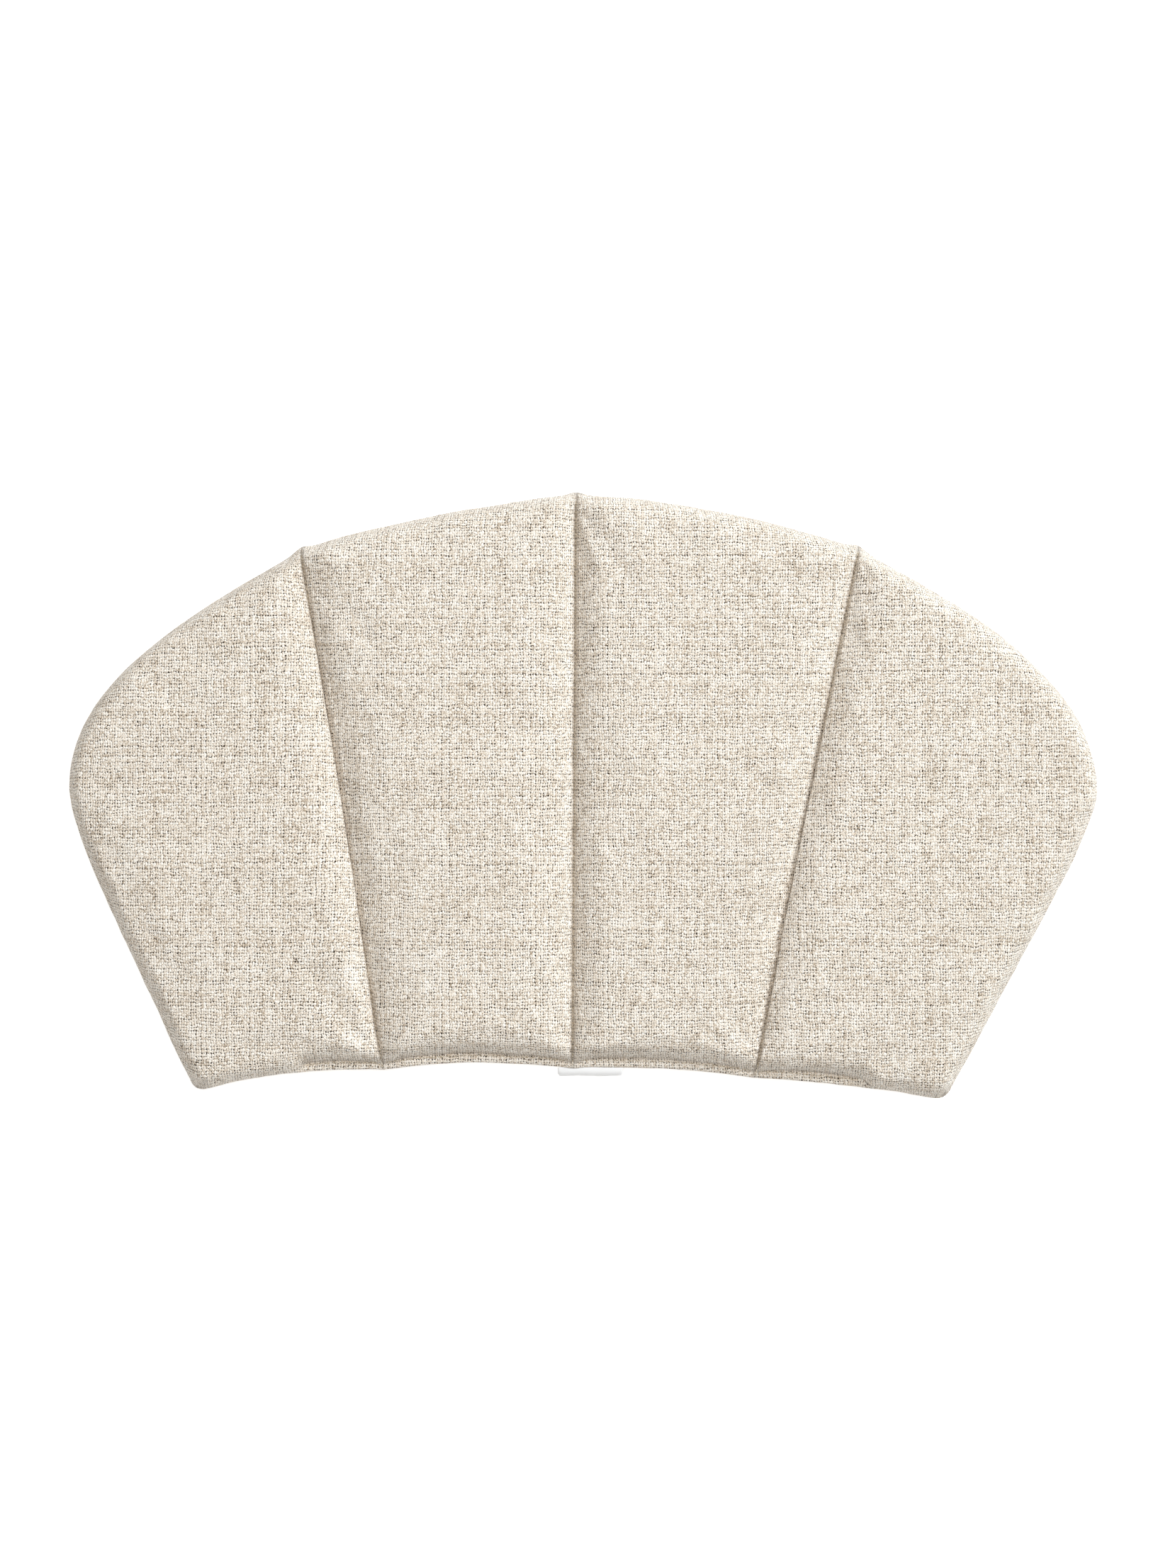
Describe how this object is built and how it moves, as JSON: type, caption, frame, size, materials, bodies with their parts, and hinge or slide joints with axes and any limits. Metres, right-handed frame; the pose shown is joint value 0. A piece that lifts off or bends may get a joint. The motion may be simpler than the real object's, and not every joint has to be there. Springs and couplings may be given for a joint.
{
  "type": "chair seat pad",
  "caption": "Fan-shaped upholstered chair pad of slubby woven cloth, its foam channels folding along stitched grooves to follow a curved chair.",
  "frame": {"origin": "centre of the bounding box, on the surface the pad lies on", "axes": "+Z out of the quilted face, +X across the fan towards the viewer's right, +Y from the concave bottom edge to the arched edge"},
  "size_m": [0.58, 0.3402, 0.022],
  "materials": {
    "cloth": "matte",
    "foam": "matte",
    "wadding": "matte",
    "thread": "matte",
    "label": "satin"
  },
  "bodies": {
    "outer_left": {"face_cloth_outer_left": "cloth", "back_cloth_outer_left": "cloth", "wadding_outer_left": "wadding", "foam_core_outer_left": "foam", "edge_seam_outer_left": "thread", "hem_stitching_outer_left": "thread"},
    "inner_left": {"face_cloth_inner_left": "cloth", "back_cloth_inner_left": "cloth", "wadding_inner_left": "wadding", "foam_core_inner_left": "foam", "edge_seam_inner_left": "thread", "hem_stitching_inner_left": "thread", "fold_stitching_left": "thread", "fold_stitching_centre": "thread"},
    "inner_right": {"face_cloth_inner_right": "cloth", "back_cloth_inner_right": "cloth", "wadding_inner_right": "wadding", "foam_core_inner_right": "foam", "edge_seam_inner_right": "thread", "hem_stitching_inner_right": "thread", "fold_stitching_right": "thread"},
    "outer_right": {"face_cloth_outer_right": "cloth", "back_cloth_outer_right": "cloth", "wadding_outer_right": "wadding", "foam_core_outer_right": "foam", "edge_seam_outer_right": "thread", "hem_stitching_outer_right": "thread"},
    "care_label": {"care_label": "label"}
  },
  "joints": [
    {"name": "centre_fold", "type": "hinge", "parent": "inner_left", "child": "inner_right", "pos_m": [-0.005, 0.00857, 0.0075], "axis": [-0.0062, -1, 0], "range_deg": [-55, 25]},
    {"name": "left_fold", "type": "hinge", "parent": "inner_left", "child": "outer_left", "pos_m": [-0.13575, -0.00733, 0.0075], "axis": [-0.1567, 0.9876, 0], "range_deg": [-55, 25]},
    {"name": "right_fold", "type": "hinge", "parent": "inner_right", "child": "outer_right", "pos_m": [0.12575, -0.00908, 0.0075], "axis": [-0.1923, -0.9813, 0], "range_deg": [-55, 25]},
    {"name": "label_flap", "type": "hinge", "parent": "inner_right", "child": "care_label", "pos_m": [0.004, -0.15343, 0.0075], "axis": [-1, 0, 0], "range_deg": [0, 100]}
  ]
}
